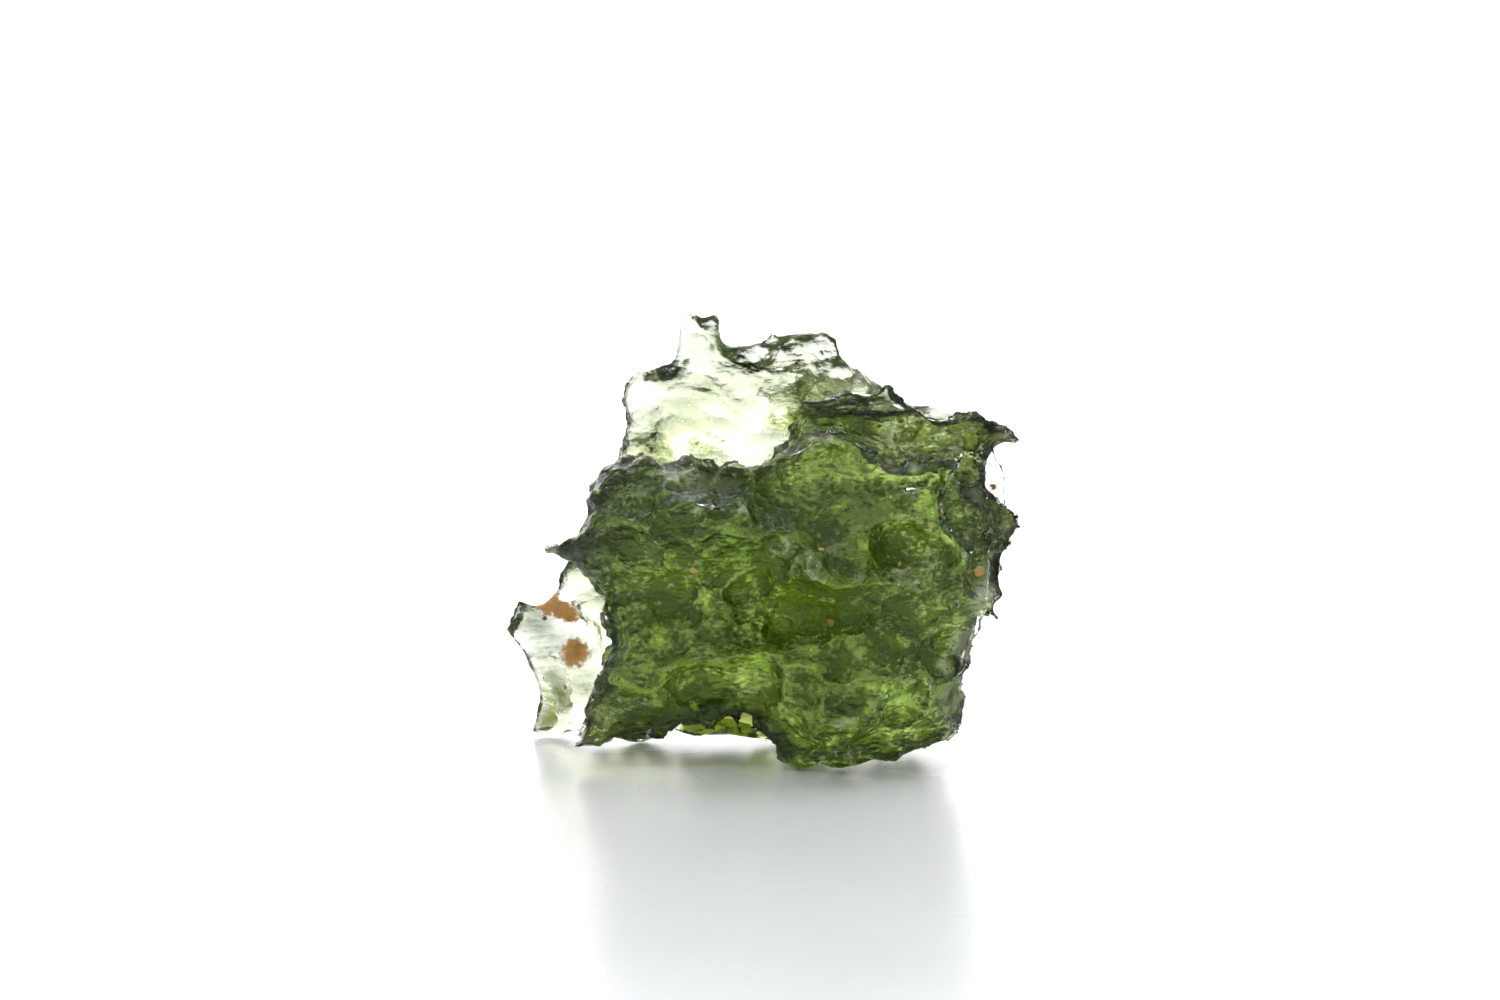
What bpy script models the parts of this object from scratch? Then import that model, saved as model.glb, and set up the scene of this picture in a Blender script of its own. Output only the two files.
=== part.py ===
"""A rough moldavite: one piece of natural green glass that stands on small flat spots of its lower edge.

Run it with: blender --background --python part.py

The stone is modelled in millimetres and scaled to metres at the end. X runs along its broad face, -Y out
of that face, and +Z up. It is built as five sheets of glass with hand-drawn outlines: the thick front
mass, the step above it, a lobe and a tip at its right, and the thin plate behind. The sheets are fused,
and then the surface is hollowed by bowls, large ones where the stone has them and smaller ones all over,
so that sharp ridges stand between them as they do on glass that has been etched in the soil.
"""

import math
import random
from dataclasses import dataclass

import bmesh
import bpy
from mathutils import Matrix, Vector, geometry, kdtree, noise
from mathutils.bvhtree import BVHTree

MM = 0.001

# The stone's size over all, mm, and the z of its outlines at which its lower edge is worn off flat
WIDTH = 22.0
HEIGHT = 18.2
REST_HEIGHT = -0.3

GLASS_GREEN = (0.16, 0.27, 0.05, 1.0)
GLASS_ROUGHNESS = 0.12
GLASS_IOR = 1.49
GLASS_CLEARNESS = 0.6

# How finely the sheets, the fused stone and the etched stone are remeshed, mm
SHEET_VOXEL = 0.3
STONE_VOXEL = 0.22
SKIN_VOXEL = 0.18
# The triangles that the stone ends with, and how near two corners of an outline are when they are one, mm
TRIANGLES = 9400
MERGE = 0.001

# The uneven lumps of the surface under its bowls, mm, and how their finer and finer layers add up
LUMP_SIZE = 3.0
LUMP_HEIGHT = 0.5
LUMP_FADING = 1.0
LUMP_FINENESS = 2.0
LUMP_LAYERS = 3
# A bowl is this much longer along the flow of the glass, which runs nearly level
FLOW = Vector((0.99, 0.05, 0.1)).normalized()
FLOW_STRETCH = 1.6
# How far the rim of a bowl wanders from the ellipse that was drawn for it, mm, and over what length
WANDER = 0.5
WANDER_LENGTH = 1.7
WANDER_LAYERS = 2
WANDER_SEED = 5
# The most of the glass's own thickness that one bowl eats away, which keeps thin rims whole, and how far
# under the surface that thickness is measured from, mm
MOST_EATEN = 0.3
MEASURED_FROM = 0.02
# The smallest and the largest bowl of an etching, as shares of its named radius
LEAST_REACH = 0.7
MOST_REACH = 1.25
# The broad face: glass in front of this y whose normal leans at least this far towards the viewer
BROAD_FACE_BACK = 1.5
BROAD_FACE_LEAN = 0.35
# A bowl hollows only glass that faces its own way, with at least this cosine between their normals
SAME_WAY = 0.1


@dataclass(frozen=True)
class Sheet:
    """A sheet of glass in a hand-drawn outline, which thins out towards its rim."""

    name: str
    outline: tuple  # (x, z) points
    middle: float  # y of the sheet's middle surface
    lean_x: float  # how much that y grows for each mm of x
    lean_z: float  # and for each mm of z
    front: float  # thickness from the middle surface towards -Y
    back: float  # and towards +Y
    rim: float  # share of the thickness that is left at the rim
    rounding: float  # how far in from the rim the sheet reaches its full thickness


@dataclass(frozen=True)
class Patch:
    """An ellipse on the broad face where the glass swells out, or is hollowed."""

    x: float
    z: float
    half_length: float
    half_height: float
    tilt: float  # degrees, anticlockwise as seen from the front
    amount: float  # mm, towards the viewer on a swelling and away on a bowl

    def reach(self, x, z):
        """How far (x, z) is from the middle, as a share of the ellipse's own size."""
        turn = math.radians(self.tilt)
        dx, dz = x - self.x, z - self.z
        along = dx * math.cos(turn) + dz * math.sin(turn)
        across = dz * math.cos(turn) - dx * math.sin(turn)
        return math.hypot(along / self.half_length, across / self.half_height)


@dataclass(frozen=True)
class Etching:
    """Bowls scattered over the surface: how far apart they lie, their radius and their depth, mm."""

    spacing: float
    radius: float
    depth: float
    seed: int
    behind_only: bool = False  # left off the broad face, which has its own large bowls


ETCHINGS = (
    Etching(4.6, 3.0, 0.85, seed=11, behind_only=True),
    Etching(2.2, 1.7, 0.5, seed=7),
    Etching(1.4, 1.0, 0.22, seed=3),
)

FRONT_MASS = Sheet(
    name="front_mass",
    outline=(
        (-9.9, 8.7), (-9.0, 9.2), (-8.2, 10.1), (-7.8, 11.2), (-7.1, 12.2), (-6.4, 12.9), (-5.1, 13.3),
        (-3.5, 13.2), (-0.9, 13.3), (1.8, 13.6), (5.6, 13.4), (7.7, 13.4), (8.7, 12.6), (8.5, 11.9),
        (9.4, 11.4), (10.1, 10.5), (10.4, 9.4), (10.1, 8.2), (10.0, 7.0), (9.6, 5.7), (9.0, 4.5),
        (8.8, 2.6), (8.6, 0.9), (7.8, 0.0), (6.3, -0.3), (5.0, -0.9), (3.2, -1.3), (1.4, -1.2),
        (0.2, -0.5), (-1.5, 0.5), (-2.7, 0.6), (-3.9, 0.3), (-6.0, 0.2), (-8.6, 0.2), (-8.5, 1.8),
        (-8.0, 3.2), (-7.3, 4.3), (-7.4, 5.6), (-7.8, 6.9), (-8.5, 7.8),
    ),
    middle=-1.4, lean_x=0.0, lean_z=0.0, front=2.2, back=5.4, rim=0.15, rounding=3.2,
)
STEP = Sheet(
    name="step",
    outline=(
        (-0.6, 12.4), (0.2, 14.0), (0.9, 14.9), (2.0, 15.2), (3.4, 15.4), (4.2, 15.1), (5.5, 15.0),
        (6.9, 14.7), (8.2, 14.4), (9.2, 14.0), (9.9, 13.7), (10.5, 13.3), (11.1, 12.8), (10.6, 12.5),
        (10.0, 12.3), (9.8, 11.6), (8.0, 9.8), (0.6, 9.8),
    ),
    middle=-0.1, lean_x=0.04, lean_z=0.0, front=1.2, back=3.2, rim=0.12, rounding=2.4,
)
LOBE = Sheet(
    name="lobe",
    outline=(
        (5.8, 11.4), (6.6, 11.8), (8.2, 11.6), (9.6, 11.4), (10.8, 10.7), (11.5, 10.0), (11.5, 9.3),
        (11.1, 8.7), (10.8, 7.9), (10.5, 7.4), (10.7, 6.3), (10.4, 5.8), (10.4, 5.2), (9.7, 4.6),
        (9.1, 4.1), (8.8, 3.3), (7.6, 4.5), (5.8, 6.2),
    ),
    middle=0.9, lean_x=0.0, lean_z=0.0, front=1.4, back=2.8, rim=0.45, rounding=1.2,
)
TIP = Sheet(
    name="tip",
    outline=(
        (6.2, 12.9), (6.6, 14.4), (8.2, 14.1), (9.2, 13.8), (10.0, 13.5), (11.1, 12.8), (10.6, 12.5),
        (10.0, 12.3), (9.8, 11.8), (9.2, 11.2), (7.6, 11.6),
    ),
    middle=0.9, lean_x=0.0, lean_z=0.0, front=1.0, back=2.4, rim=0.45, rounding=1.0,
)
BACK_PLATE = Sheet(
    name="back_plate",
    outline=(
        (-11.0, 6.3), (-11.4, 5.4), (-11.5, 4.3), (-10.8, 3.2), (-10.4, 2.3), (-10.4, 1.5), (-10.7, 0.8),
        (-10.7, -0.3), (-9.9, -0.8), (-8.2, -0.7), (-6.6, -0.6), (-5.8, -0.9), (-2.8, -1.0), (3.6, -1.0),
        (6.2, -0.9), (7.4, 0.1), (8.8, 2.0),
        (9.0, 3.5), (10.0, 4.5), (10.2, 5.0), (10.6, 5.6), (10.3, 6.0), (10.6, 6.4), (10.8, 7.3),
        (11.0, 8.0), (11.4, 9.1), (11.3, 9.9), (11.1, 10.9), (10.8, 11.9), (10.5, 12.7), (8.3, 14.2),
        (6.4, 14.7), (5.4, 14.9), (4.5, 15.6), (3.6, 16.5), (2.4, 17.2), (1.2, 17.3), (0.0, 17.2),
        (-0.5, 17.0), (-0.9, 16.7), (-1.3, 17.0), (-1.7, 17.8), (-3.1, 18.0), (-3.8, 17.0),
        (-4.4, 16.0), (-5.5, 15.3), (-6.0, 14.5), (-6.3, 13.4), (-6.8, 12.0), (-7.5, 10.5),
        (-8.4, 8.8), (-9.1, 7.3), (-9.8, 6.4),
    ),
    middle=3.8, lean_x=-0.12, lean_z=0.05, front=1.1, back=1.5, rim=0.25, rounding=2.2,
)

# Where the front swells out
SWELLINGS = (
    Patch(-2.8, 10.3, 4.6, 2.4, -2, 2.2),  # the long bulge at the upper left
    Patch(2.4, 7.9, 3.4, 1.5, -6, 1.0),  # the ledge in the middle
    Patch(4.0, 2.6, 4.8, 3.2, 10, 1.9),  # the foot at the lower right
    Patch(-3.1, 4.4, 5.0, 0.9, 10, 0.8),  # the slanting ridge over the lower bay
    Patch(8.2, 6.4, 1.6, 2.6, -20, 0.7),  # the shoulder down the right edge
)
# Where the back does
BACK_SWELLINGS = (
    Patch(3.0, 6.0, 7.0, 5.5, 20, 1.8),
    Patch(-4.5, 4.0, 4.0, 3.0, -10, 0.9),
    Patch(3.0, 14.4, 4.6, 2.8, -18, 2.4),
)
# The large bowls of the front
BOWLS = (
    Patch(3.4, 11.7, 4.0, 1.4, 4, 0.9),  # the smooth bay under the crest
    Patch(6.2, 9.4, 2.0, 2.5, 0, 1.1),  # the round bay at the right
    Patch(1.4, 5.8, 3.6, 1.2, -4, 1.2),  # the hollow under the ledge
    Patch(-4.7, 6.7, 3.1, 1.9, 0, 0.9),
    Patch(-1.3, 7.3, 2.0, 1.4, 0, 0.9),
    Patch(-5.9, 4.4, 1.8, 1.2, 0, 0.6),
    Patch(-3.1, 5.2, 1.8, 0.9, 5, 0.5),
    Patch(-3.1, 2.4, 5.0, 1.7, 8, 0.9),  # the broad lower bay
    Patch(-6.7, 1.4, 1.9, 1.0, 0, 0.4),
    Patch(3.9, 4.0, 2.0, 2.0, 0, 1.0),
    Patch(5.4, 2.3, 1.6, 1.1, 30, 0.8),
    Patch(3.0, 1.0, 2.8, 0.8, 12, 0.6),
    Patch(5.4, 6.5, 2.4, 1.0, 0, 0.5),
    Patch(7.8, 5.0, 1.2, 1.9, -20, 0.8),
    Patch(-5.9, 11.2, 1.8, 1.2, 40, 0.6),
    Patch(-6.7, 6.3, 0.8, 2.0, 0, 0.5),
    Patch(2.6, 14.3, 2.8, 0.8, 0, 0.5),
    Patch(8.8, 13.7, 1.5, 0.6, -10, 0.4),
    Patch(8.8, 10.4, 1.4, 1.2, 0, 0.5),
    Patch(-3.1, 11.9, 2.4, 0.8, 0, 0.6),
    Patch(-6.7, 8.6, 1.4, 1.2, 0, 0.4),
)


def new_object(name, mesh):
    """A mesh object in the scene."""
    made = bpy.data.objects.new(name, mesh)
    bpy.context.scene.collection.objects.link(made)
    return made


def evaluated(obj):
    """The mesh of an object with its modifiers applied. The object is removed."""
    graph = bpy.context.evaluated_depsgraph_get()
    mesh = bpy.data.meshes.new_from_object(obj.evaluated_get(graph))
    bpy.data.objects.remove(obj)
    return mesh


def remeshed(mesh, voxel):
    """The mesh fused into one even skin."""
    obj = new_object("remeshing", mesh)
    remesh = obj.modifiers.new("fuse", "REMESH")
    remesh.mode = "VOXEL"
    remesh.voxel_size = voxel
    return evaluated(obj)


def outline_prism(sheet):
    """The sheet's outline, standing in the XZ plane and one unit thick to each side of it."""
    curve = bpy.data.curves.new(sheet.name, "CURVE")
    curve.dimensions = "2D"
    curve.fill_mode = "BOTH"
    curve.extrude = 1.0
    line = curve.splines.new("POLY")
    line.points.add(len(sheet.outline) - 1)
    for point, (x, z) in zip(line.points, sheet.outline):
        point.co = (x, z, 0.0, 1.0)
    line.use_cyclic_u = True
    obj = new_object(sheet.name, curve)
    mesh = evaluated(obj)
    work = bmesh.new()
    work.from_mesh(mesh)
    bmesh.ops.remove_doubles(work, verts=work.verts, dist=MERGE)
    work.transform(Matrix.Rotation(math.radians(90), 4, "X"))
    work.to_mesh(mesh)
    work.free()
    return mesh


def rim_distance(sheet, x, z):
    """How far (x, z) is inside the sheet's outline."""
    here = Vector((x, z))
    corners = [Vector(corner) for corner in sheet.outline]
    nearest = math.inf
    for start, end in zip(corners, corners[1:] + corners[:1]):
        foot, share = geometry.intersect_point_line(here, start, end)
        foot = start.lerp(end, min(max(share, 0.0), 1.0))
        nearest = min(nearest, (foot - here).length)
    return nearest


def dome(patch, x, z):
    """A smooth rise over a patch, from 0 at its edge to 1 at its middle."""
    reach = min(patch.reach(x, z), 1.0)
    return (1 - reach * reach) ** 2


def swollen(patches, x, z):
    """How far the swellings stand out at (x, z)."""
    return sum(patch.amount * dome(patch, x, z) for patch in patches)


def sheet_mesh(sheet, front_patches=(), back_patches=()):
    """The sheet as a closed mesh, with its thickness falling off towards the rim."""
    mesh = remeshed(outline_prism(sheet), SHEET_VOXEL)
    for vertex in mesh.vertices:
        x, y, z = vertex.co
        inward = min(rim_distance(sheet, x, z) / sheet.rounding, 1.0)
        fullness = sheet.rim + (1 - sheet.rim) * math.sqrt(1 - (1 - inward) ** 2)
        middle = sheet.middle + sheet.lean_x * x + sheet.lean_z * (z - HEIGHT / 2)
        if y < 0:
            thickness = sheet.front + swollen(front_patches, x, z)
        else:
            thickness = sheet.back + swollen(back_patches, x, z)
        vertex.co.y = middle + y * thickness * fullness
    return mesh


def joined(meshes):
    """Several meshes in one."""
    work = bmesh.new()
    for mesh in meshes:
        work.from_mesh(mesh)
    together = bpy.data.meshes.new("together")
    work.to_mesh(together)
    work.free()
    return together


def thicknesses(mesh):
    """How thick the glass is under each vertex, mm, straight in from the surface."""
    tree = BVHTree.FromPolygons(
        [vertex.co for vertex in mesh.vertices], [face.vertices for face in mesh.polygons]
    )
    found = []
    for vertex in mesh.vertices:
        start = vertex.co - vertex.normal * MEASURED_FROM
        distance = tree.ray_cast(start, -vertex.normal)[3]
        found.append(distance or 0.0)
    return found


def roughen(mesh):
    """Uneven lumps, pushed in and out along the normals."""
    moves = []
    for vertex, thick in zip(mesh.vertices, thicknesses(mesh)):
        lump = LUMP_HEIGHT * noise.fractal(vertex.co / LUMP_SIZE, LUMP_FADING, LUMP_FINENESS, LUMP_LAYERS)
        limit = MOST_EATEN * thick
        moves.append(vertex.normal * min(max(lump, -limit), limit))
    for vertex, move in zip(mesh.vertices, moves):
        vertex.co += move


def wandered(point):
    """The point moved by the uneven drift that keeps the bowls from being neat ellipses."""
    return point + noise.turbulence_vector(point / WANDER_LENGTH, WANDER_LAYERS, False) * WANDER


def hollow_front(mesh):
    """The large bowls of the broad face. Where two meet, the deeper one wins and a ridge is left."""
    for vertex, thick in zip(mesh.vertices, thicknesses(mesh)):
        facing = min(max(-vertex.normal.y / BROAD_FACE_LEAN, 0.0), 1.0)
        if facing == 0 or vertex.co.y > BROAD_FACE_BACK:
            continue
        x, _, z = wandered(vertex.co)
        depth = max(patch.amount * (1 - min(patch.reach(x, z), 1.0) ** 2) for patch in BOWLS)
        vertex.co.y += facing * min(depth, MOST_EATEN * thick)


def scattered(mesh, etching):
    """The places and directions of the etching's bowls, no two nearer to each other than its spacing."""
    order = list(range(len(mesh.vertices)))
    random.Random(etching.seed).shuffle(order)
    tree = kdtree.KDTree(len(order))
    for index, vertex in enumerate(mesh.vertices):
        tree.insert(vertex.co, index)
    tree.balance()
    taken, chosen = set(), []
    for index in order:
        if index in taken:
            continue
        vertex = mesh.vertices[index]
        if etching.behind_only and vertex.normal.y < SAME_WAY:
            continue
        chosen.append((vertex.co.copy(), vertex.normal.copy()))
        taken.update(near for _, near, _ in tree.find_range(vertex.co, etching.spacing))
    return chosen


def etch(mesh, etching):
    """Bowls all over the surface, longer along the flow of the glass, with ridges where they meet."""
    centres = scattered(mesh, etching)
    sizes = random.Random(etching.seed + 1)
    reaches = [sizes.uniform(LEAST_REACH, MOST_REACH) for _ in centres]
    tree = kdtree.KDTree(len(centres))
    for index, (centre, _) in enumerate(centres):
        tree.insert(centre, index)
    tree.balance()
    moves = []
    for vertex, thick in zip(mesh.vertices, thicknesses(mesh)):
        here = wandered(vertex.co)
        deepest = 0.0
        for centre, index, _ in tree.find_range(here, etching.radius * FLOW_STRETCH * MOST_REACH):
            if vertex.normal.dot(centres[index][1]) < SAME_WAY:
                continue
            away = here - centre
            along = away.dot(FLOW)
            across = (away - FLOW * along).length
            reach = math.hypot(along / FLOW_STRETCH, across) / (etching.radius * reaches[index])
            if reach < 1:
                deepest = max(deepest, etching.depth * reaches[index] * (1 - reach * reach))
        moves.append(vertex.normal * -min(deepest, MOST_EATEN * thick))
    for vertex, move in zip(mesh.vertices, moves):
        vertex.co += move


def crumbs(work):
    """The vertices that aren't in the largest connected piece."""
    pieces, seen = [], set()
    for first in work.verts:
        if first in seen:
            continue
        piece, edge_of_search = {first}, [first]
        while edge_of_search:
            vertex = edge_of_search.pop()
            near = {edge.other_vert(vertex) for edge in vertex.link_edges} - piece
            piece |= near
            edge_of_search.extend(near)
        seen |= piece
        pieces.append(piece)
    pieces.sort(key=len)
    return [vertex for piece in pieces[:-1] for vertex in piece]


def settled(mesh):
    """The mesh with a fresh skin that has no folds, and with no crumb that came loose from it."""
    fresh = remeshed(mesh, SKIN_VOXEL)
    work = bmesh.new()
    work.from_mesh(fresh)
    bmesh.ops.smooth_vert(
        work, verts=work.verts, factor=0.5, use_axis_x=True, use_axis_y=True, use_axis_z=True
    )
    bmesh.ops.delete(work, geom=crumbs(work), context="VERTS")
    work.to_mesh(fresh)
    work.free()
    return fresh


def stone_mesh():
    """The whole stone, in millimetres, before it is set on the floor."""
    sheets = [
        sheet_mesh(FRONT_MASS, front_patches=SWELLINGS),
        sheet_mesh(STEP),
        sheet_mesh(LOBE),
        sheet_mesh(TIP),
        sheet_mesh(BACK_PLATE, back_patches=BACK_SWELLINGS),
    ]
    mesh = remeshed(joined(sheets), STONE_VOXEL)
    roughen(mesh)
    hollow_front(mesh)
    for etching in ETCHINGS:
        etch(mesh, etching)
    return settled(mesh)


def set_on_floor(mesh):
    """Cuts the flat spots that the stone stands on, centres it over the origin and fits it to its size."""
    work = bmesh.new()
    work.from_mesh(mesh)
    bmesh.ops.bisect_plane(
        work, geom=work.verts[:] + work.edges[:] + work.faces[:],
        plane_co=(0, 0, REST_HEIGHT), plane_no=(0, 0, -1), clear_outer=True,
    )
    open_edges = [edge for edge in work.edges if edge.is_boundary]
    bmesh.ops.triangle_fill(work, use_beauty=True, edges=open_edges, normal=(0, 0, -1))
    bmesh.ops.triangulate(work, faces=work.faces)
    bmesh.ops.delete(work, geom=crumbs(work), context="VERTS")
    xs, ys, zs = zip(*(vertex.co for vertex in work.verts))
    middle = Vector(((min(xs) + max(xs)) / 2, (min(ys) + max(ys)) / 2, REST_HEIGHT))
    bmesh.ops.translate(work, verts=work.verts, vec=-middle)
    fit = Vector((WIDTH / (max(xs) - min(xs)), 1.0, HEIGHT / (max(zs) - REST_HEIGHT)))
    bmesh.ops.scale(work, verts=work.verts, vec=fit)
    work.to_mesh(mesh)
    work.free()


def thinned(mesh, triangles):
    """The mesh with about that many triangles, fewest where it is smooth."""
    obj = new_object("thinning", mesh)
    mesh.calc_loop_triangles()
    decimate = obj.modifiers.new("thin out", "DECIMATE")
    decimate.ratio = triangles / len(mesh.loop_triangles)
    return evaluated(obj)


def glass():
    """The stone's green glass."""
    material = bpy.data.materials.new("moldavite_glass")
    material.use_nodes = True
    shader = material.node_tree.nodes["Principled BSDF"]
    shader.inputs["Base Color"].default_value = GLASS_GREEN
    shader.inputs["Roughness"].default_value = GLASS_ROUGHNESS
    shader.inputs["Metallic"].default_value = 0.0
    shader.inputs["IOR"].default_value = GLASS_IOR
    shader.inputs["Transmission Weight"].default_value = GLASS_CLEARNESS
    return material


def main():
    """Builds the stone as one object in a collection of its own, in metres."""
    for obj in list(bpy.data.objects):
        bpy.data.objects.remove(obj)
    noise.seed_set(WANDER_SEED)
    mesh = thinned(stone_mesh(), TRIANGLES)
    set_on_floor(mesh)
    mesh.transform(Matrix.Scale(MM, 4))
    mesh.name = "moldavite"
    mesh.materials.append(glass())
    collection = bpy.data.collections.new("moldavite")
    bpy.context.scene.collection.children.link(collection)
    collection.objects.link(bpy.data.objects.new("moldavite", mesh))


main()
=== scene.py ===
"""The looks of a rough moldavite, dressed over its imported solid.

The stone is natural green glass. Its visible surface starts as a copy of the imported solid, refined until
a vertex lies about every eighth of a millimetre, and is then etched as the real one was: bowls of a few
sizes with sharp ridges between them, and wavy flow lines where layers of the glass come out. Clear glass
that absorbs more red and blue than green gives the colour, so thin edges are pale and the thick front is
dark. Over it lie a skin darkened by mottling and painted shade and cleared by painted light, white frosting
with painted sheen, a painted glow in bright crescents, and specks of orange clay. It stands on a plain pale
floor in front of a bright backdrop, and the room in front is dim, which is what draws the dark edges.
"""

import logging
import math
import random
from dataclasses import dataclass, field
from enum import Enum

import bmesh
import bpy
import numpy as np
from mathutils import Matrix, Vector, kdtree, noise
from mathutils.bvhtree import BVHTree

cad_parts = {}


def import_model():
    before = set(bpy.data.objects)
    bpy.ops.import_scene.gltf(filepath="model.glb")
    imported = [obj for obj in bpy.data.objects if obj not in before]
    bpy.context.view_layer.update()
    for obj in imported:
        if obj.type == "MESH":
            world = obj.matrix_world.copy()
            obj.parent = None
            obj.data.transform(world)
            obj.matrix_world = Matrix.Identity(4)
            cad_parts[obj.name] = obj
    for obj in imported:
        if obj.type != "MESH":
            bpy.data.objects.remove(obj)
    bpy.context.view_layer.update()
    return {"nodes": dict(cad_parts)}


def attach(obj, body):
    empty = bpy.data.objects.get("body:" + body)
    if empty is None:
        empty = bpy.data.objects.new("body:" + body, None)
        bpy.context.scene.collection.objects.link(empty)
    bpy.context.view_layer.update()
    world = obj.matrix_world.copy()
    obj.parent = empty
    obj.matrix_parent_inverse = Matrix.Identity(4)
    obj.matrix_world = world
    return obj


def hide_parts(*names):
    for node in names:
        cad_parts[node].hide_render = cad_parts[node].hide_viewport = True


MM = 0.001
PHOTO_WIDTH, PHOTO_HEIGHT = 1500, 1000

log = logging.getLogger("moldavite")


class Side(Enum):
    """Where on the stone an etching goes."""

    EVERYWHERE = "everywhere"
    BEHIND = "behind"


@dataclass(frozen=True)
class PhotoCamera:
    """The camera, which looks at the stone from where the photograph was taken."""

    lens_mm: float = 100.0
    sensor_mm: float = 36.0
    distance: float = 170 * MM
    elevation: float = math.radians(8)
    target: Vector = Vector((-0.57 * MM, -0.41 * MM, 10.75 * MM))

    def towards_camera(self) -> Vector:
        """The direction from the target to the camera."""
        return Vector((0.0, -math.cos(self.elevation), math.sin(self.elevation)))

    def ray(self, column: float, row: float) -> tuple[Vector, Vector]:
        """The line of sight through a pixel of the photograph.

        Args:
            column: pixels from the photograph's left edge.
            row: pixels from its top edge.

        Returns:
            The camera's place and the direction of the line.
        """
        back = self.towards_camera()
        right = Vector((1.0, 0.0, 0.0))
        up = back.cross(right)
        pixel = self.sensor_mm / self.lens_mm / PHOTO_WIDTH
        across = (column - PHOTO_WIDTH / 2) * pixel
        down = (row - PHOTO_HEIGHT / 2) * pixel
        direction = -back + right * across - up * down
        return self.target + back * self.distance, direction.normalized()

    def create(self) -> bpy.types.Object:
        """Adds the camera to the scene.

        Returns:
            The camera object, which is the scene's camera.
        """
        data = bpy.data.cameras.new("photo_camera")
        data.lens = self.lens_mm
        data.sensor_width = self.sensor_mm
        data.clip_start = 10 * MM
        camera = bpy.data.objects.new("photo_camera", data)
        camera.location = self.target + self.towards_camera() * self.distance
        camera.rotation_euler = (-self.towards_camera()).to_track_quat("-Z", "Y").to_euler()
        bpy.context.scene.collection.objects.link(camera)
        bpy.context.scene.camera = camera
        return camera


@dataclass
class NodeGraph:
    """Short ways to add nodes to one material or world."""

    tree: bpy.types.NodeTree

    def add(self, kind: str, **settings: object) -> bpy.types.Node:
        """Adds a node.

        Args:
            kind: the node's type name, without its Shader prefix.
            settings: values for the node's own properties.

        Returns:
            The new node.
        """
        node = self.tree.nodes.new("Shader" + kind)
        for name, value in settings.items():
            setattr(node, name, value)
        return node

    def link(self, source: bpy.types.NodeSocket, node: bpy.types.Node, name: str | int) -> None:
        """Feeds an input of a node, named or numbered, from a socket."""
        self.tree.links.new(source, node.inputs[name])

    def math(self, operation: str, *values: float | bpy.types.NodeSocket) -> bpy.types.NodeSocket:
        """Works out a number from others.

        Args:
            operation: the Math node's operation.
            values: its inputs, each a number or a socket.

        Returns:
            The socket that holds the result.
        """
        node = self.add("NodeMath", operation=operation)
        for index, value in enumerate(values):
            if isinstance(value, bpy.types.NodeSocket):
                self.link(value, node, index)
            else:
                node.inputs[index].default_value = value
        return node.outputs[0]

    def spread(self, value: bpy.types.NodeSocket, low: float, high: float, to: tuple[float, float]) -> bpy.types.NodeSocket:
        """Maps the range from low to high onto another, clamped at its ends.

        Args:
            value: the number to map.
            low: where the range starts.
            high: where it ends.
            to: what its two ends become.

        Returns:
            The socket that holds the mapped number.
        """
        node = self.add("NodeMapRange", interpolation_type="SMOOTHSTEP")
        self.link(value, node, "Value")
        for name, number in zip(("From Min", "From Max", "To Min", "To Max"), (low, high, *to)):
            node.inputs[name].default_value = number
        return node.outputs["Result"]

    def millimetres(self, stretch: tuple[float, float, float] = (1.0, 1.0, 1.0), turn: float = 0.0) -> bpy.types.NodeSocket:
        """The piece's own coordinates in millimetres.

        Args:
            stretch: how much finer a pattern gets along each axis.
            turn: how far the pattern is turned about Y, in degrees.

        Returns:
            The socket that holds the coordinates.
        """
        place = self.add("NodeTexCoord")
        mapping = self.add("NodeMapping")
        self.link(place.outputs["Object"], mapping, "Vector")
        mapping.inputs["Scale"].default_value = [factor / MM for factor in stretch]
        mapping.inputs["Rotation"].default_value = (0.0, math.radians(turn), 0.0)
        return mapping.outputs["Vector"]


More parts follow.
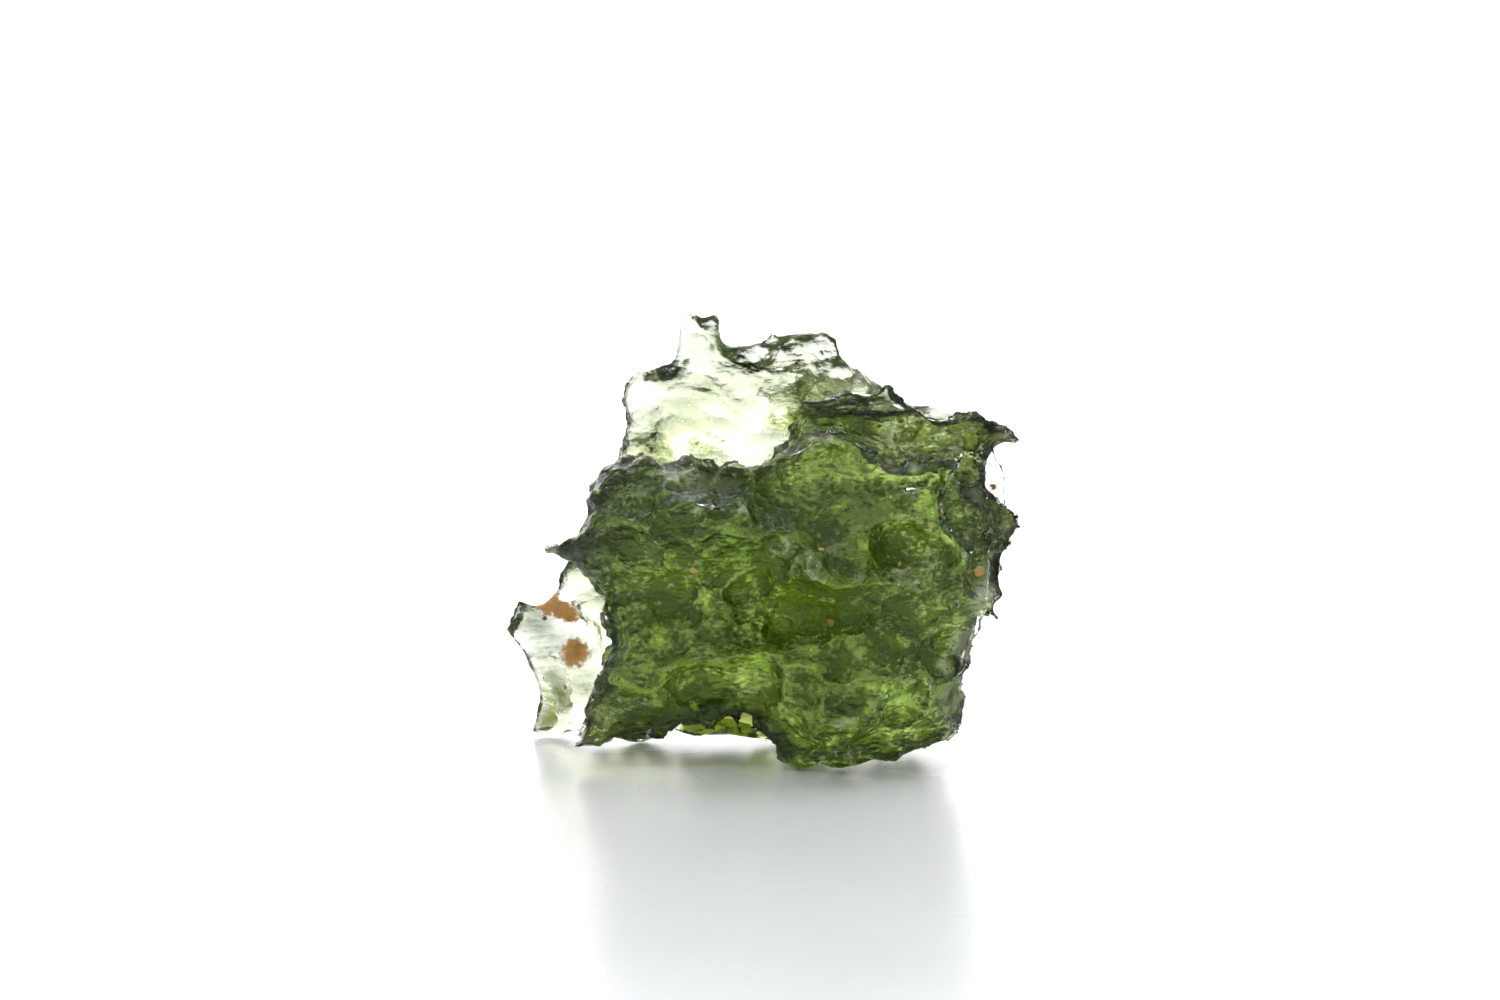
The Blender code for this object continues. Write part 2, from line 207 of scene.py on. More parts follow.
@dataclass(frozen=True)
class GlassFinish:
    """The green glass: clear, finely pitted and lined, with specks of orange clay in its pits."""

    ior: float = 1.49
    # What a metre of the glass takes out of red, green and blue light
    density: float = 430.0
    passes: tuple[float, float, float] = (0.5, 0.62, 0.07)
    # What the skin of the glass passes in its clear places, and in its dark ones, where mottling and painted shade
    # darken it
    clean_skin: tuple[float, float, float] = (1.0, 1.0, 1.0)
    dark_skin: tuple[float, float, float] = (0.08, 0.105, 0.012)
    # White frosting, which also serves as painted highlights and sheen
    frost_and_sheen: tuple[float, float, float] = (0.64, 0.7, 0.46)
    # The share of the light that frosted glass, and glass under painted sheen, doesn't let through
    frost_veil: float = 0.55
    # Painted light: a glow in bright crescents, standing in for the light that the bowls behind gather
    glow: tuple[float, float, float] = (0.34, 0.54, 0.06)
    glow_strength: float = 0.5
    # How strongly the skin's mottling follows its broad clouds and its fine grain, and how strongly painted shade
    # darkens the pits
    clouds: float = 2.4
    mottling: float = 3.8
    pit_shade: float = 0.25
    # How dark the skin is where all of these are even
    even_darkness: float = 0.42
    # How much of that is left where the glass is thin
    thin_darkness: float = 0.2
    polished: float = 0.03
    frosted: float = 0.14
    line_relief: float = 0.012 * MM
    pit_relief: float = 0.09 * MM
    grain_relief: float = 0.1 * MM
    clay_dark: tuple[float, float, float] = (0.6, 0.27, 0.05)
    clay_light: tuple[float, float, float] = (0.95, 0.56, 0.2)

    def material(self) -> bpy.types.Material:
        """Builds the material.

        Returns:
            The new material.
        """
        material = bpy.data.materials.new("moldavite_glass")
        material.use_nodes = True
        graph = NodeGraph(material.node_tree)
        shader = material.node_tree.nodes["Principled BSDF"]
        output = material.node_tree.nodes["Material Output"]
        shader.inputs["IOR"].default_value = self.ior
        clay = self.clay_cover(graph)
        self.colour(graph, shader, clay)
        self.gloss(graph, shader, clay)
        self.painted_crescent_glow(graph, shader)
        graph.link(self.relief(graph), shader, "Normal")
        absorption = graph.add("NodeVolumeAbsorption")
        absorption.inputs["Density"].default_value = self.density
        absorption.inputs["Color"].default_value = (*self.passes, 1.0)
        graph.link(absorption.outputs["Volume"], output, "Volume")
        return material

    def clay_cover(self, graph: NodeGraph) -> bpy.types.NodeSocket:
        """How much of the glass is hidden by clay, from the painted specks broken up by a fine noise."""
        painted = graph.add("NodeAttribute", attribute_name="clay")
        grain = graph.add("NodeTexNoise")
        graph.link(graph.millimetres(), grain, "Vector")
        grain.inputs["Scale"].default_value = 5.0
        grain.inputs["Detail"].default_value = 5.0
        broken = graph.math("MULTIPLY_ADD", grain.outputs["Fac"], 0.9, painted.outputs["Fac"])
        return graph.spread(broken, 0.9, 1.25, (0.0, 1.0))

    def colour(self, graph: NodeGraph, shader: bpy.types.Node, clay: bpy.types.NodeSocket) -> None:
        """Clear glass, which takes its green from the depth behind it, under a skin with mottling, painted shade and
        light, frosting and painted sheen, and opaque clay over it.
        """
        grain = graph.add("NodeTexNoise")
        graph.link(graph.millimetres(), grain, "Vector")
        grain.inputs["Scale"].default_value = 2.5
        grain.inputs["Detail"].default_value = 4.0
        tone = graph.add("NodeMix", data_type="RGBA")
        graph.link(grain.outputs["Fac"], tone, "Factor")
        tone.inputs["A"].default_value = (*self.clay_dark, 1.0)
        tone.inputs["B"].default_value = (*self.clay_light, 1.0)
        skin = graph.add("NodeMix", data_type="RGBA")
        graph.link(self.mottling_and_painted_shade(graph), skin, "Factor")
        skin.inputs["A"].default_value = (*self.clean_skin, 1.0)
        skin.inputs["B"].default_value = (*self.dark_skin, 1.0)
        frost_and_sheen = self.frost_and_sheen_cover(graph)
        with_frost_and_sheen = graph.add("NodeMix", data_type="RGBA")
        graph.link(frost_and_sheen, with_frost_and_sheen, "Factor")
        graph.link(skin.outputs["Result"], with_frost_and_sheen, "A")
        with_frost_and_sheen.inputs["B"].default_value = (*self.frost_and_sheen, 1.0)
        cover = graph.add("NodeMix", data_type="RGBA")
        graph.link(clay, cover, "Factor")
        graph.link(with_frost_and_sheen.outputs["Result"], cover, "A")
        graph.link(tone.outputs["Result"], cover, "B")
        graph.link(cover.outputs["Result"], shader, "Base Color")
        clear = graph.math("MULTIPLY_ADD", frost_and_sheen, -self.frost_veil, 1.0)
        graph.link(graph.math("MULTIPLY", clear, graph.math("SUBTRACT", 1.0, clay)), shader, "Transmission Weight")

    def mottling_and_painted_shade(self, graph: NodeGraph) -> bpy.types.NodeSocket:
        """How dark the skin is, from 0 to 1: mottling in broad clouds and fine grain, painted shade in the pits, and
        the painted tone, shade and light of the zones and ridges.
        """
        clouds = graph.add("NodeTexNoise")
        graph.link(graph.millimetres((0.6, 1.0, 1.0), 6.0), clouds, "Vector")
        clouds.inputs["Scale"].default_value = 1.1
        clouds.inputs["Detail"].default_value = 4.0
        grain = graph.add("NodeTexNoise")
        graph.link(graph.millimetres((0.7, 1.0, 1.0), 6.0), grain, "Vector")
        grain.inputs["Scale"].default_value = 5.5
        grain.inputs["Detail"].default_value = 3.0
        grain.inputs["Roughness"].default_value = 0.7
        pit = graph.add("NodeAttribute", attribute_name="pit")
        # Painted tone, painted shade and painted light: the zones, with the ridges lighter and the hollows darker
        zone = graph.add("NodeAttribute", attribute_name="shade")
        thick = graph.add("NodeAttribute", attribute_name="thick")
        even = graph.spread(thick.outputs["Fac"], 0.0, 1.0, (self.thin_darkness * self.even_darkness, self.even_darkness))
        total = graph.math("ADD", zone.outputs["Fac"], even)
        for value, middle, weight in (
            (clouds.outputs["Fac"], 0.5, self.clouds),
            (grain.outputs["Fac"], 0.5, self.mottling),
            # Painted shade in the pits
            (pit.outputs["Fac"], 0.4, self.pit_shade),
        ):
            strength = graph.math("MULTIPLY", thick.outputs["Fac"], weight)
            total = graph.math("MULTIPLY_ADD", graph.math("SUBTRACT", value, middle), strength, total)
        return graph.spread(total, 0.0, 1.0, (0.0, 1.0))

    def frost_and_sheen_cover(self, graph: NodeGraph) -> bpy.types.NodeSocket:
        """How much of the glass is white with fine fractures and painted sheen, from the painted places broken up by a
        noise.
        """
        painted = graph.add("NodeAttribute", attribute_name="frost_and_sheen")
        grain = graph.add("NodeTexNoise")
        graph.link(graph.millimetres((0.5, 1.0, 1.0), 8.0), grain, "Vector")
        grain.inputs["Scale"].default_value = 3.5
        grain.inputs["Detail"].default_value = 6.0
        grain.inputs["Roughness"].default_value = 0.7
        broken = graph.math("MULTIPLY_ADD", grain.outputs["Fac"], 1.6, painted.outputs["Fac"])
        return graph.spread(broken, 1.0, 1.55, (0.0, 1.0))

    def painted_crescent_glow(self, graph: NodeGraph, shader: bpy.types.Node) -> None:
        """Painted light: bright crescents that glow, standing in for the light that the bowls behind throw through the
        glass.
        """
        painted = graph.add("NodeAttribute", attribute_name="glow")
        grain = graph.add("NodeTexNoise")
        graph.link(graph.millimetres((1.0, 1.0, 0.7), 20.0), grain, "Vector")
        grain.inputs["Scale"].default_value = 3.4
        grain.inputs["Detail"].default_value = 6.0
        grain.inputs["Roughness"].default_value = 0.75
        broken = graph.math("MULTIPLY_ADD", grain.outputs["Fac"], 3.2, painted.outputs["Fac"])
        shader.inputs["Emission Color"].default_value = (*self.glow, 1.0)
        graph.link(graph.spread(broken, 2.0, 3.0, (0.0, self.glow_strength)), shader, "Emission Strength")

    def gloss(self, graph: NodeGraph, shader: bpy.types.Node, clay: bpy.types.NodeSocket) -> None:
        """Polished ridges, frosted pits and dull clay."""
        depth = graph.add("NodeAttribute", attribute_name="pit")
        patches = graph.add("NodeTexNoise")
        graph.link(graph.millimetres(), patches, "Vector")
        patches.inputs["Scale"].default_value = 0.8
        patches.inputs["Detail"].default_value = 6.0
        wear = graph.math("MULTIPLY", depth.outputs["Fac"], patches.outputs["Fac"])
        glass = graph.spread(wear, 0.1, 0.6, (self.polished, self.frosted))
        graph.link(graph.math("MULTIPLY_ADD", clay, 0.6, glass), shader, "Roughness")

    def relief(self, graph: NodeGraph) -> bpy.types.NodeSocket:
        """The flow lines, pits and grain that are too fine for the mesh.

        Args:
            graph: the material's nodes.

        Returns:
            The socket that holds the bent normal.
        """
        lines = graph.add("NodeTexWave", wave_type="BANDS", bands_direction="Z", wave_profile="SIN")
        graph.link(graph.millimetres((0.35, 0.6, 1.0), 6.0), lines, "Vector")
        for name, value in (("Scale", 1.3), ("Distortion", 9.0), ("Detail", 3.0), ("Detail Scale", 0.45)):
            lines.inputs[name].default_value = value
        shown = graph.add("NodeTexNoise")
        graph.link(graph.millimetres(), shown, "Vector")
        shown.inputs["Scale"].default_value = 0.35
        lined = graph.math("MULTIPLY", lines.outputs["Fac"], graph.spread(shown.outputs["Fac"], 0.4, 0.6, (0.15, 1.0)))
        pits = graph.add("NodeTexVoronoi", feature="SMOOTH_F1")
        graph.link(graph.millimetres((0.75, 1.0, 1.0)), pits, "Vector")
        pits.inputs["Scale"].default_value = 3.4
        pits.inputs["Smoothness"].default_value = 0.15
        grain = graph.add("NodeTexNoise")
        graph.link(graph.millimetres((0.6, 1.0, 1.0)), grain, "Vector")
        grain.inputs["Scale"].default_value = 6.0
        grain.inputs["Detail"].default_value = 5.0
        thick = graph.add("NodeAttribute", attribute_name="thick")
        strength = graph.spread(thick.outputs["Fac"], 0.0, 1.0, (0.35, 1.0))
        normal = None
        for height, depth in (
            (lined, self.line_relief),
            (pits.outputs["Distance"], self.pit_relief),
            (grain.outputs["Fac"], self.grain_relief),
        ):
            bump = graph.add("NodeBump")
            bump.inputs["Distance"].default_value = depth
            graph.link(strength, bump, "Strength")
            graph.link(height, bump, "Height")
            if normal is not None:
                graph.link(normal, bump, "Normal")
            normal = bump.outputs["Normal"]
        return normal


@dataclass(frozen=True)
class FloorFinish:
    """The smooth white table top."""

    colour: tuple[float, float, float] = (0.82, 0.84, 0.87)
    roughness: float = 0.26
    smeared: float = 0.02

    def material(self) -> bpy.types.Material:
        """Builds the material.

        Returns:
            The new material.
        """
        material = bpy.data.materials.new("white_table")
        material.use_nodes = True
        graph = NodeGraph(material.node_tree)
        shader = material.node_tree.nodes["Principled BSDF"]
        shader.inputs["Base Color"].default_value = (*self.colour, 1.0)
        smears = graph.add("NodeTexNoise")
        graph.link(graph.millimetres(), smears, "Vector")
        smears.inputs["Scale"].default_value = 0.15
        graph.link(graph.spread(smears.outputs["Fac"], 0.3, 0.7, (self.roughness, self.roughness + self.smeared)), shader, "Roughness")
        return material


@dataclass(frozen=True)
class Zone:
    """A soft-edged place on the glass, found by the pixel of the photograph that it is seen at."""

    column: float
    row: float
    radius: float
    amount: float = 1.0


@dataclass(frozen=True)
class Etching:
    """Bowls scattered over the surface, in metres."""

    spacing: float
    radius: float
    depth: float
    seed: int
    side: Side = Side.EVERYWHERE


@dataclass
class Moldavite:
    """The stone, as one piece of glass."""

    camera: PhotoCamera
    finish: GlassFinish = field(default_factory=GlassFinish)
    node: str = "moldavite"
    body: str = "root"
    slot: str = "moldavite_glass"
    voxel: float = 0.135 * MM
    # The flow of the glass, along which bowls and lines are drawn out
    flow: Vector = Vector((0.99, 0.05, 0.1))
    stretch: float = 1.3
    etchings: tuple[Etching, ...] = (
        Etching(1.5 * MM, 1.0 * MM, 0.3 * MM, seed=20),
        Etching(0.8 * MM, 0.56 * MM, 0.13 * MM, seed=21),
        Etching(0.42 * MM, 0.31 * MM, 0.06 * MM, seed=22),
    )
    wander_seed: int = 5
    wander: float = 0.16 * MM
    wander_length: float = 0.7 * MM
    largest: float = 1.3
    most_eaten: float = 0.22
    line_height: float = 0.02 * MM
    line_spacing: float = 0.55 * MM
    rest_height: float = 0.02 * MM
    clay_specks: tuple[Zone, ...] = (
        Zone(549, 602, 0.9 * MM), Zone(570, 614, 0.7 * MM), Zone(575, 652, 1.0 * MM), Zone(694, 571, 0.25 * MM),
        Zone(830, 623, 0.3 * MM), Zone(821, 549, 0.22 * MM), Zone(800, 435, 0.18 * MM), Zone(993, 487, 0.25 * MM),
        Zone(932, 527, 0.18 * MM), Zone(900, 564, 0.18 * MM), Zone(979, 571, 0.35 * MM),
    )
    # Painted tone and painted shade where the glass looks darker (over 0), and painted light where it looks clearer
    # (under 0), than elsewhere
    painted_shade_and_light_zones: tuple[Zone, ...] = (
        Zone(592, 500, 1.5 * MM, 0.6), Zone(562, 545, 1.0 * MM, 0.6), Zone(612, 464, 1.2 * MM, 0.6),
        Zone(655, 450, 1.0 * MM, 0.5), Zone(710, 452, 1.0 * MM, 0.5), Zone(725, 500, 1.6 * MM, 0.45),
        Zone(775, 520, 1.3 * MM, 0.45), Zone(640, 545, 2.0 * MM, 0.25), Zone(700, 545, 1.6 * MM, 0.3),
        Zone(800, 582, 1.4 * MM, 0.5), Zone(836, 602, 1.2 * MM, 0.5), Zone(770, 560, 1.0 * MM, 0.3),
        Zone(882, 622, 1.6 * MM, 0.35), Zone(905, 655, 1.4 * MM, 0.3), Zone(780, 757, 1.4 * MM, 0.45),
        Zone(840, 762, 1.2 * MM, 0.45), Zone(932, 735, 1.0 * MM, 0.4), Zone(990, 500, 1.6 * MM, 0.8),
        Zone(1014, 520, 1.3 * MM, 0.8), Zone(975, 545, 1.0 * MM, 0.5), Zone(960, 424, 1.7 * MM, 0.7),
        Zone(1002, 437, 1.4 * MM, 0.8), Zone(905, 417, 1.4 * MM, 0.6), Zone(830, 408, 1.4 * MM, 0.6),
        Zone(785, 420, 1.2 * MM, 0.5), Zone(865, 412, 1.2 * MM, 0.5), Zone(995, 565, 1.0 * MM, 0.5),
        # Painted shade over the pale band along the bottom, which the bright floor lights
        Zone(590, 735, 1.2 * MM, 0.9), Zone(625, 735, 1.2 * MM, 0.9), Zone(660, 728, 1.4 * MM, 1.6),
        Zone(685, 724, 1.4 * MM, 1.6), Zone(710, 724, 2.0 * MM, 1.6), Zone(735, 724, 2.0 * MM, 1.6),
        Zone(755, 728, 2.0 * MM, 1.6), Zone(645, 735, 1.4 * MM, 1.6), Zone(662, 733, 1.4 * MM, 1.6),
        Zone(698, 734, 1.4 * MM, 1.6), Zone(716, 735, 1.4 * MM, 1.6),
        Zone(780, 590, 1.6 * MM, 0.4), Zone(830, 590, 1.6 * MM, 0.4), Zone(670, 540, 1.6 * MM, 0.3),
        Zone(780, 468, 1.6 * MM, -0.35), Zone(830, 470, 2.0 * MM, -0.35), Zone(880, 480, 2.0 * MM, -0.35),
        Zone(700, 690, 2.2 * MM, -0.4), Zone(765, 690, 2.0 * MM, -0.4), Zone(620, 710, 1.8 * MM, -0.3),
        Zone(880, 748, 1.0 * MM, 0.5), Zone(552, 690, 1.4 * MM, 0.4), Zone(545, 728, 1.0 * MM, 0.6),
        Zone(540, 640, 1.8 * MM, 0.35), Zone(530, 608, 1.4 * MM, 0.3), Zone(550, 700, 1.4 * MM, 0.4),
        Zone(680, 520, 2.2 * MM, 0.3), Zone(760, 550, 1.8 * MM, 0.3), Zone(660, 590, 1.6 * MM, 0.2),
        Zone(800, 600, 1.8 * MM, 0.3), Zone(850, 640, 1.6 * MM, 0.3), Zone(940, 620, 1.6 * MM, 0.3),
        Zone(740, 590, 0.5 * MM, 0.6), Zone(700, 630, 1.2 * MM, 0.25), Zone(960, 600, 1.0 * MM, 0.35),
        # Painted light: clearer places, most of them where bright crescents show
        Zone(925, 503, 0.9 * MM, -0.7), Zone(915, 470, 0.5 * MM, -0.7), Zone(862, 545, 0.5 * MM, -0.7),
        Zone(752, 580, 0.5 * MM, -0.7), Zone(706, 600, 0.6 * MM, -0.6), Zone(660, 640, 0.6 * MM, -0.7),
        Zone(594, 618, 0.9 * MM, -0.7), Zone(602, 652, 0.8 * MM, -0.6), Zone(755, 665, 0.9 * MM, -0.6),
        Zone(742, 684, 0.6 * MM, -0.6), Zone(694, 706, 0.5 * MM, -0.6), Zone(811, 660, 0.6 * MM, -0.6),
        Zone(893, 702, 1.0 * MM, -0.8), Zone(850, 722, 0.8 * MM, -0.6), Zone(880, 440, 1.8 * MM, -0.3),
        Zone(830, 480, 1.8 * MM, -0.3), Zone(640, 715, 2.0 * MM, -0.25), Zone(740, 715, 1.6 * MM, -0.25),
    )
    # Where fine fractures turn it white, and where painted highlights and sheen do
    frost_and_sheen_zones: tuple[Zone, ...] = (
        Zone(672, 470, 1.5 * MM, 0.4), Zone(646, 514, 0.5 * MM, 0.45), Zone(700, 508, 0.5 * MM, 0.45),
        Zone(745, 507, 0.5 * MM, 0.45), Zone(785, 553, 0.9 * MM, 0.35), Zone(812, 572, 0.8 * MM, 0.3),
        Zone(832, 548, 0.5 * MM, 0.35), Zone(905, 575, 0.9 * MM, 0.4), Zone(966, 640, 1.0 * MM, 0.8),
        Zone(985, 605, 0.8 * MM, 0.8), Zone(946, 668, 0.7 * MM, 0.6), Zone(893, 700, 0.6 * MM, 0.4),
        Zone(845, 722, 0.7 * MM, 0.4), Zone(548, 552, 0.5 * MM, 0.8), Zone(820, 437, 0.9 * MM, 0.4),
        Zone(890, 432, 0.7 * MM, 0.5), Zone(984, 590, 0.7 * MM, 0.7), Zone(930, 560, 0.8 * MM, 0.3),
    )
    hidden_specks: int = 14
    # The depth of glass that counts as thick
    thick: float = 2.5 * MM
    # Ridges and hollows, which get painted light on the ridges, painted shade in the hollows, and frosting with
    # painted sheen on the fine ridges: rounds of smoothing that find them, the height that counts in full, and what
    # they get
    fine_rounds: int = 8
    fine_ridge: float = 0.03 * MM
    fine_shade: float = 0.25
    broad_rounds: int = 90
    broad_ridge: float = 0.25 * MM
    broad_shade: float = 0.45
    ridge_frost_and_sheen: float = 0.18
    # Painted light: crescents that glow, standing in for the light that the bowls behind gather
    crescents: tuple[Zone, ...] = (
        Zone(925, 500, 0.7 * MM), Zone(914, 470, 0.4 * MM), Zone(934, 515, 0.4 * MM), Zone(863, 545, 0.45 * MM),
        Zone(751, 578, 0.35 * MM), Zone(755, 592, 0.35 * MM), Zone(706, 600, 0.4 * MM), Zone(660, 640, 0.45 * MM),
        Zone(594, 610, 0.5 * MM), Zone(602, 632, 0.5 * MM), Zone(608, 652, 0.5 * MM), Zone(756, 660, 0.5 * MM),
        Zone(744, 678, 0.45 * MM), Zone(768, 668, 0.4 * MM), Zone(694, 706, 0.4 * MM), Zone(812, 648, 0.4 * MM),
        Zone(813, 668, 0.4 * MM), Zone(812, 695, 0.4 * MM), Zone(893, 702, 0.6 * MM), Zone(868, 690, 0.4 * MM),
        Zone(848, 720, 0.6 * MM), Zone(905, 712, 0.4 * MM), Zone(832, 740, 0.4 * MM), Zone(752, 610, 0.3 * MM),
        Zone(885, 688, 0.6 * MM), Zone(905, 696, 0.5 * MM), Zone(870, 708, 0.5 * MM),
        Zone(837, 480, 0.3 * MM), Zone(757, 432, 0.3 * MM), Zone(688, 585, 0.3 * MM), Zone(735, 565, 0.25 * MM),
    )
    # The thin plate behind is smoother: where it starts, how thin it is, and how far it is worn down
    plate_front: float = 0.8 * MM
    plate_depth: float = 3.6 * MM
    plate_blend: float = 1.2 * MM
    plate_rounds: int = 10
    plate_calm: float = 0.65
    calm: np.ndarray | None = None
    mesh: bpy.types.Mesh | None = None

    def build(self) -> bpy.types.Object:
        """Makes the stone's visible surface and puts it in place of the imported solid.

        Returns:
            The finished piece.
        """
        noise.seed_set(self.wander_seed)
        self.mesh = self.refined_copy()
        self.wear_plate()
        pits = [0.0] * len(self.mesh.vertices)
        for etching in self.etchings:
            self.etch(etching, pits)
        self.draw_flow_lines()
        self.set_down()
        self.write_attribute("pit", pits)
        depths = np.array(self.thicknesses())
        self.write_attribute("thick", np.clip(depths / self.thick, 0.0, 1.0) * (1 - self.plate_calm * self.calm))
        self.write_attribute("clay", self.painted(self.clay_specks + self.hidden_clay()))
        fine = np.clip(self.ridges(self.fine_rounds) / self.fine_ridge, -1.0, 1.0)
        broad = np.clip(self.ridges(self.broad_rounds) / self.broad_ridge, -1.0, 1.0)
        # Painted light on the ridges and painted shade in the hollows. A thin rim stands out as a ridge does, but
        # isn't made lighter for it
        full = np.clip(depths / self.thick, 0.0, 1.0)
        ridge_light_and_hollow_shade = full * (self.broad_shade * broad + self.fine_shade * fine)
        # Painted tone, shade and light from the zones, less the painted light on ridges and painted shade in hollows
        self.write_attribute("shade", np.array(self.painted(self.painted_shade_and_light_zones)) - ridge_light_and_hollow_shade)
        # Painted glow where the crescents are
        self.write_attribute("glow", self.painted(self.crescents))
        # Frosting and painted sheen on the fine ridges
        worn = self.ridge_frost_and_sheen * np.clip(fine, 0.0, 1.0)
        self.write_attribute("frost_and_sheen", np.array(self.painted(self.frost_and_sheen_zones)) + worn)
        for face in self.mesh.polygons:
            face.use_smooth = True
        self.mesh.materials.append(self.finish.material())
        piece = bpy.data.objects.new("moldavite_glass", self.mesh)
        bpy.context.scene.collection.objects.link(piece)
        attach(piece, self.body)
        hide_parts(self.node)
        return piece

    def refined_copy(self) -> bpy.types.Mesh:
        """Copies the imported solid, rounds its facets and remeshes it evenly and finely.

        Returns:
            The fine mesh.
        """
        work = bmesh.new()
        work.from_mesh(bpy.data.objects[self.node].data)
        bmesh.ops.remove_doubles(work, verts=work.verts, dist=0.0005 * MM)
        coarse = bpy.data.meshes.new("coarse")
        work.to_mesh(coarse)
        work.free()
        helper = bpy.data.objects.new("refining", coarse)
        bpy.context.scene.collection.objects.link(helper)
        rounding = helper.modifiers.new("round", "SUBSURF")
        rounding.levels = rounding.render_levels = 1
        remesh = helper.modifiers.new("even", "REMESH")
        remesh.mode = "VOXEL"
        remesh.voxel_size = self.voxel
        graph = bpy.context.evaluated_depsgraph_get()
        fine = bpy.data.meshes.new_from_object(helper.evaluated_get(graph))
        bpy.data.objects.remove(helper)
        bpy.data.meshes.remove(coarse)
        fine.name = "moldavite_glass"
        return fine

    def thicknesses(self) -> list[float]:
        """How thick the glass is under each vertex, straight in from the surface."""
        tree = BVHTree.FromPolygons(
            [vertex.co for vertex in self.mesh.vertices], [face.vertices for face in self.mesh.polygons]
        )
        found = []
        for vertex in self.mesh.vertices:
            start = vertex.co - vertex.normal * (self.voxel / 4)
            found.append(tree.ray_cast(start, -vertex.normal)[3] or 0.0)
        return found

    def centres(self, etching: Etching) -> list[tuple[Vector, Vector]]:
        """Scatters an etching's bowls.

        Args:
            etching: the bowls to scatter.

        Returns:
            Each bowl's place and the direction that it opens in.
        """
        vertices = self.mesh.vertices
        order = list(range(len(vertices)))
        random.Random(etching.seed).shuffle(order)
        tree = kdtree.KDTree(len(order))
        for index, vertex in enumerate(vertices):
            tree.insert(vertex.co, index)
        tree.balance()
        taken: set[int] = set()
        chosen = []
        for index in order:
            if index in taken:
                continue
            vertex = vertices[index]
            if etching.side is Side.BEHIND and vertex.normal.y < 0:
                continue
            chosen.append((vertex.co.copy(), vertex.normal.copy()))
            taken.update(near for _, near, _ in tree.find_range(vertex.co, etching.spacing))
        return chosen

    def etch(self, etching: Etching, pits: list[float]) -> None:
        """Hollows the surface with bowls that leave sharp ridges where they meet.

        Args:
            etching: the bowls' sizes.
            pits: how deep in its bowl each vertex is, from 0 to 1, which this adds to.
        """
        centres = self.centres(etching)
        flow = self.flow.normalized()
        sizes = random.Random(etching.seed + 1)
        reaches = [sizes.uniform(0.65, self.largest) for _ in centres]
        tree = kdtree.KDTree(len(centres))
        for index, (centre, _) in enumerate(centres):
            tree.insert(centre, index)
        tree.balance()
        moves = []
        for number, (vertex, thick) in enumerate(zip(self.mesh.vertices, self.thicknesses())):
            drift = noise.turbulence_vector(vertex.co / self.wander_length, 2, False) * self.wander
            here = vertex.co + drift
            deepest = 0.0
            for centre, index, _ in tree.find_range(here, etching.radius * self.stretch * self.largest):
                if vertex.normal.dot(centres[index][1]) < 0.1:
                    continue
                away = here - centre
                along = away.dot(flow)
                across = (away - flow * along).length
                reach = math.hypot(along / self.stretch, across) / (etching.radius * reaches[index])
                if reach < 1:
                    deepest = max(deepest, etching.depth * reaches[index] * (1 - reach * reach))
            eaten = min(deepest * (1 - self.plate_calm * self.calm[number]), self.most_eaten * thick)
            pits[number] = max(pits[number], eaten / (etching.depth * self.largest))
            moves.append(vertex.normal * -eaten)
        for vertex, move in zip(self.mesh.vertices, moves):
            vertex.co += move

    def draw_flow_lines(self) -> None:
        """Raises the wavy lines where layers of the glass come to the surface."""
        moves = []
        for vertex, thick in zip(self.mesh.vertices, self.thicknesses()):
            place = vertex.co / MM
            bend = noise.noise(place / 5.0) * 2.4 + noise.noise(place / 1.6) * 0.5
            level = place.z + 0.1 * place.x + bend
            wave = math.sin(2 * math.pi * level * MM / self.line_spacing)
            shown = min(max(noise.noise(place / 3.1 + Vector((9.0, 2.0, 5.0))) * 2.5 + 0.5, 0.0), 1.0)
            height = self.line_height * wave * shown
            limit = self.most_eaten * thick
            moves.append(vertex.normal * min(max(height, -limit), limit))
        for vertex, move in zip(self.mesh.vertices, moves):
            vertex.co += move

    def set_down(self) -> None:
        """Keeps the stone on and over the floor, with its worn places flat."""
        for vertex in self.mesh.vertices:
            if vertex.co.z < self.rest_height:
                vertex.co.z = 0.0

    def hidden_clay(self) -> tuple[tuple[Vector, float, float], ...]:
        """Clay on the side that the photograph doesn't show.

        Returns:
            The place, radius and amount of each speck.
        """
        chooser = random.Random(31)
        behind = [vertex.co.copy() for vertex in self.mesh.vertices if vertex.normal.y > 0.3]
        places = chooser.sample(behind, self.hidden_specks)
        return tuple((place, chooser.uniform(0.15, 0.45) * MM, 1.0) for place in places)

    def painted(self, zones: tuple[Zone | tuple[Vector, float, float], ...]) -> list[float]:
        """How much of a finish lies on each vertex.

        Args:
            zones: the places to paint, each seen at a pixel or given by its place, radius and amount.

        Returns:
            A value for each vertex: the zone's amount at its middle, falling to 0 at its edge.
        """
        tree = BVHTree.FromPolygons(
            [vertex.co for vertex in self.mesh.vertices], [face.vertices for face in self.mesh.polygons]
        )
        near_by = kdtree.KDTree(len(self.mesh.vertices))
        for index, vertex in enumerate(self.mesh.vertices):
            near_by.insert(vertex.co, index)
        near_by.balance()
        cover = [0.0] * len(self.mesh.vertices)
        for zone in zones:
            if isinstance(zone, Zone):
                place = tree.ray_cast(*self.camera.ray(zone.column, zone.row))[0]
                radius, amount = zone.radius, zone.amount
            else:
                place, radius, amount = zone
            if place is None:
                log.info("the zone at %s is off the stone", zone)
                continue
            for _, index, distance in near_by.find_range(place, radius):
                cover[index] += amount * (1 - (distance / radius) ** 2)
        return cover

